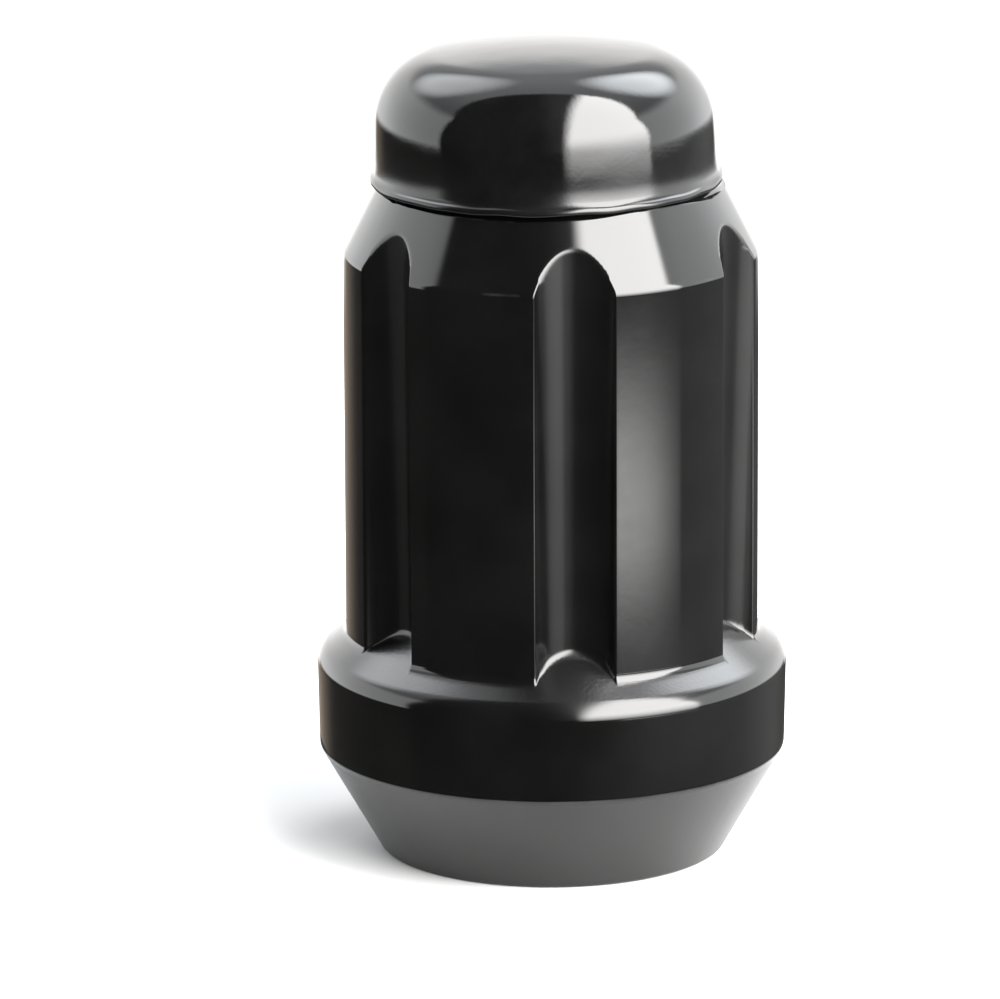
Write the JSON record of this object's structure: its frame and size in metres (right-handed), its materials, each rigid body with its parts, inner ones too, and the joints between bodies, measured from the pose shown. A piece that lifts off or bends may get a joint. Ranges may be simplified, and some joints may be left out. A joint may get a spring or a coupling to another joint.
{
  "type": "lug nut",
  "caption": "Closed-end wheel lug nut: fluted drive section, bulged collar over a cone seat, tapped bore and a welded domed cap, in gloss black.",
  "frame": {"origin": "centre of the flat ring face at the open end", "axes": "+Z along the nut's axis from the open end to the domed cap, with a flute facing -Y"},
  "size_m": [0.0228, 0.0228, 0.0397],
  "materials": {
    "body_black": "gloss black coat on forged steel, satin on the seat",
    "cap_black": "smooth gloss black coat on pressed steel"
  },
  "bodies": {
    "root": {"nut_body": "body_black", "dome_cap": "cap_black"}
  },
  "joints": []
}
